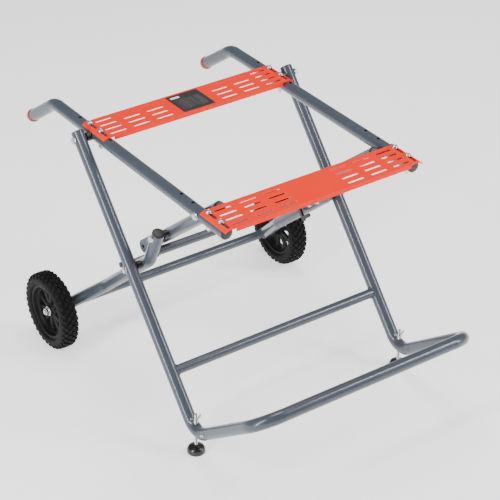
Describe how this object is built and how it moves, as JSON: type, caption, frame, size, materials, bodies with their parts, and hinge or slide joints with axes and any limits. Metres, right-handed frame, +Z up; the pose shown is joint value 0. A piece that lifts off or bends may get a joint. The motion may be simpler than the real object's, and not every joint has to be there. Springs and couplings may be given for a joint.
{
  "type": "folding mitre saw stand",
  "caption": "Rolling, folding tube stand with two slotted plates for a mitre saw, crossed legs, levelling feet and a wheel on each side.",
  "frame": {"origin": "on the floor, under the middle of the stand's bounding box", "axes": "+Z up, +Y from the raised foot bar towards the handles, +X to the right across the stand"},
  "size_m": [0.7912, 1.1323, 0.6748],
  "materials": {
    "painted_tube": "semi-gloss blue-grey paint",
    "black_plastic": "moulded black plastic",
    "wheel_plastic": "moulded black plastic",
    "tyre_rubber": "treaded rubber",
    "pad_rubber": "moulded rubber",
    "orange_powder_coat": "powder-coated sheet",
    "orange_plastic": "moulded end caps",
    "label_film": "plain dark label film",
    "zinc": "zinc-plated fasteners"
  },
  "bodies": {
    "rails": {"left_rail": "painted_tube", "right_rail": "painted_tube", "rail_front_plugs": "black_plastic", "handle_caps": "orange_plastic", "front_plate": "orange_powder_coat", "front_plate_bolts": "zinc", "rear_plate_bolts": "zinc", "plate_nuts": "zinc", "leg_pivot_bolts": "zinc", "leg_pivot_spacers": "black_plastic", "leg_pivot_nuts": "zinc", "link_pivot_bolts": "zinc", "link_pivot_spacers": "black_plastic", "link_pivot_nuts": "zinc"},
    "sliding_plate": {"rear_plate": "orange_powder_coat", "rear_plate_label": "label_film"},
    "front_legs": {"left_front_leg": "painted_tube", "right_front_leg": "painted_tube", "front_leg_plugs": "black_plastic", "lower_crossbar": "painted_tube", "foot_bar": "painted_tube", "foot_bar_screws": "zinc", "crossing_bolts": "zinc", "crossing_spacers": "black_plastic", "crossing_nuts": "zinc"},
    "left_levelling_foot": {"left_foot_stud": "zinc", "left_foot_pad": "pad_rubber"},
    "right_levelling_foot": {"right_foot_stud": "zinc", "right_foot_pad": "pad_rubber"},
    "left_wing": {"left_wing_nut": "zinc"},
    "right_wing": {"right_wing_nut": "zinc"},
    "wheel_legs": {"left_wheel_leg": "painted_tube", "right_wheel_leg": "painted_tube", "wheel_leg_plugs": "black_plastic", "upper_cross_tube": "painted_tube", "axle_tube": "painted_tube", "axle_rod": "zinc", "axle_spacers": "zinc", "axle_nuts": "zinc", "knee_bolts": "zinc", "knee_spacers": "black_plastic", "latch_clips": "black_plastic", "latch_clip_bolts": "zinc"},
    "latch": {"latch_bar": "zinc", "latch_bar_caps": "black_plastic", "latch_lever": "black_plastic"},
    "links": {"left_link": "painted_tube", "right_link": "painted_tube", "link_plugs": "black_plastic", "link_knee_pins": "zinc"},
    "left_wheel": {"left_tyre": "tyre_rubber", "left_rim": "wheel_plastic"},
    "right_wheel": {"right_tyre": "tyre_rubber", "right_rim": "wheel_plastic"}
  },
  "joints": [
    {"name": "fold", "type": "hinge", "parent": "rails", "child": "front_legs", "pos_m": [0, 0.22796, 0.6475], "axis": [-1, 0, 0], "range_deg": [0, 33]},
    {"name": "wheel_legs_fold", "type": "hinge", "parent": "front_legs", "child": "wheel_legs", "pos_m": [0, 0.00696, 0.387], "axis": [-1, 0, 0], "range_deg": [0, 60.3]},
    {"name": "links_fold", "type": "hinge", "parent": "rails", "child": "links", "pos_m": [0, -0.24104, 0.6475], "axis": [1, 0, 0], "range_deg": [0, 28.57]},
    {"name": "rear_plate_slide", "type": "slide", "parent": "rails", "child": "sliding_plate", "axis": [0, 1, 0], "range_m": [0, 0.028]},
    {"name": "left_foot_height", "type": "slide", "parent": "front_legs", "child": "left_levelling_foot", "axis": [0, 0, 1], "range_m": [0, 0.012]},
    {"name": "right_foot_height", "type": "slide", "parent": "front_legs", "child": "right_levelling_foot", "axis": [0, 0, 1], "range_m": [0, 0.012]},
    {"name": "left_wing_turn", "type": "hinge", "parent": "front_legs", "child": "left_wing", "pos_m": [-0.318, -0.27704, 0.095], "axis": [0, 0, 1], "continuous": true},
    {"name": "right_wing_turn", "type": "hinge", "parent": "front_legs", "child": "right_wing", "pos_m": [0.318, -0.27704, 0.095], "axis": [0, 0, 1], "continuous": true},
    {"name": "latch_turn", "type": "hinge", "parent": "wheel_legs", "child": "latch", "pos_m": [0, 0.08619, 0.34696], "axis": [1, 0, 0], "range_deg": [0, 25]},
    {"name": "left_wheel_spin", "type": "hinge", "parent": "wheel_legs", "child": "left_wheel", "pos_m": [-0.3706, 0.32796, 0.1064], "axis": [1, 0, 0], "continuous": true},
    {"name": "right_wheel_spin", "type": "hinge", "parent": "wheel_legs", "child": "right_wheel", "pos_m": [0.3706, 0.32796, 0.1064], "axis": [1, 0, 0], "continuous": true}
  ],
  "couplings": [
    {"joint": "wheel_legs_fold", "follows": "fold", "ratio": 1.8213},
    {"joint": "links_fold", "follows": "fold", "ratio": 0.8596}
  ]
}
